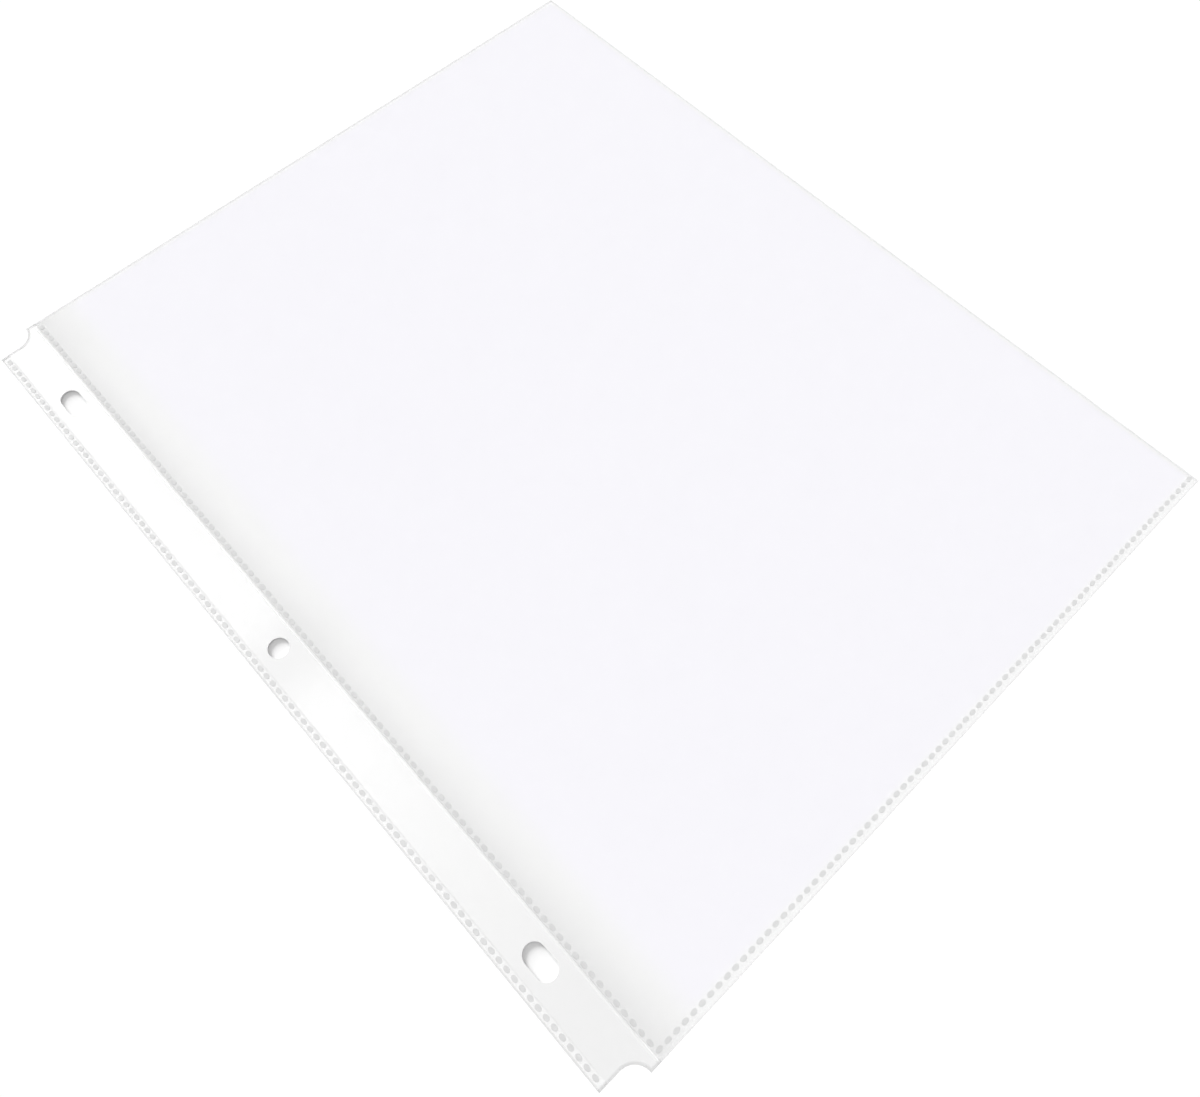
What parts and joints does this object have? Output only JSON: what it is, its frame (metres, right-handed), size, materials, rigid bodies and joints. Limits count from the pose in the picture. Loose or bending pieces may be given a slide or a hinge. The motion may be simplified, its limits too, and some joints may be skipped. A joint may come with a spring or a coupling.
{
  "type": "sheet protector",
  "caption": "Flat clear film pocket, open at the top and folded at one side, with dotted welds and a white punched strip that carries it on binder rings.",
  "frame": {"origin": "under the middle of the whole sheet, on the surface that its back lies on", "axes": "+X across the page from the punched binding to the folded side, +Y up the page to the open mouth, +Z out of the front"},
  "size_m": [0.2366, 0.2858, 0.0004],
  "materials": {
    "clear_film": "clear polypropylene film, smooth, faintly bluish",
    "white_strip": "opaque white polypropylene, satin",
    "weld_spots": "fused film, greyish and hazy"
  },
  "bodies": {
    "pocket": {"back_film": "clear_film", "side_fold": "clear_film", "bottom_weld": "weld_spots", "inner_weld": "weld_spots"},
    "front": {"front_film": "clear_film"},
    "binding": {"reinforcing_strip": "white_strip", "strip_sleeve": "clear_film", "outer_weld": "weld_spots", "hinge_web": "clear_film"}
  },
  "joints": [
    {"name": "binding_hinge", "type": "hinge", "parent": "pocket", "child": "binding", "pos_m": [-0.1037, 0, 0.00022], "axis": [0, 1, 0], "range_deg": [-90, 90]},
    {"name": "mouth_lift", "type": "hinge", "parent": "pocket", "child": "front", "pos_m": [0, -0.14288, 0.00035], "axis": [1, 0, 0], "range_deg": [0, 6]}
  ]
}
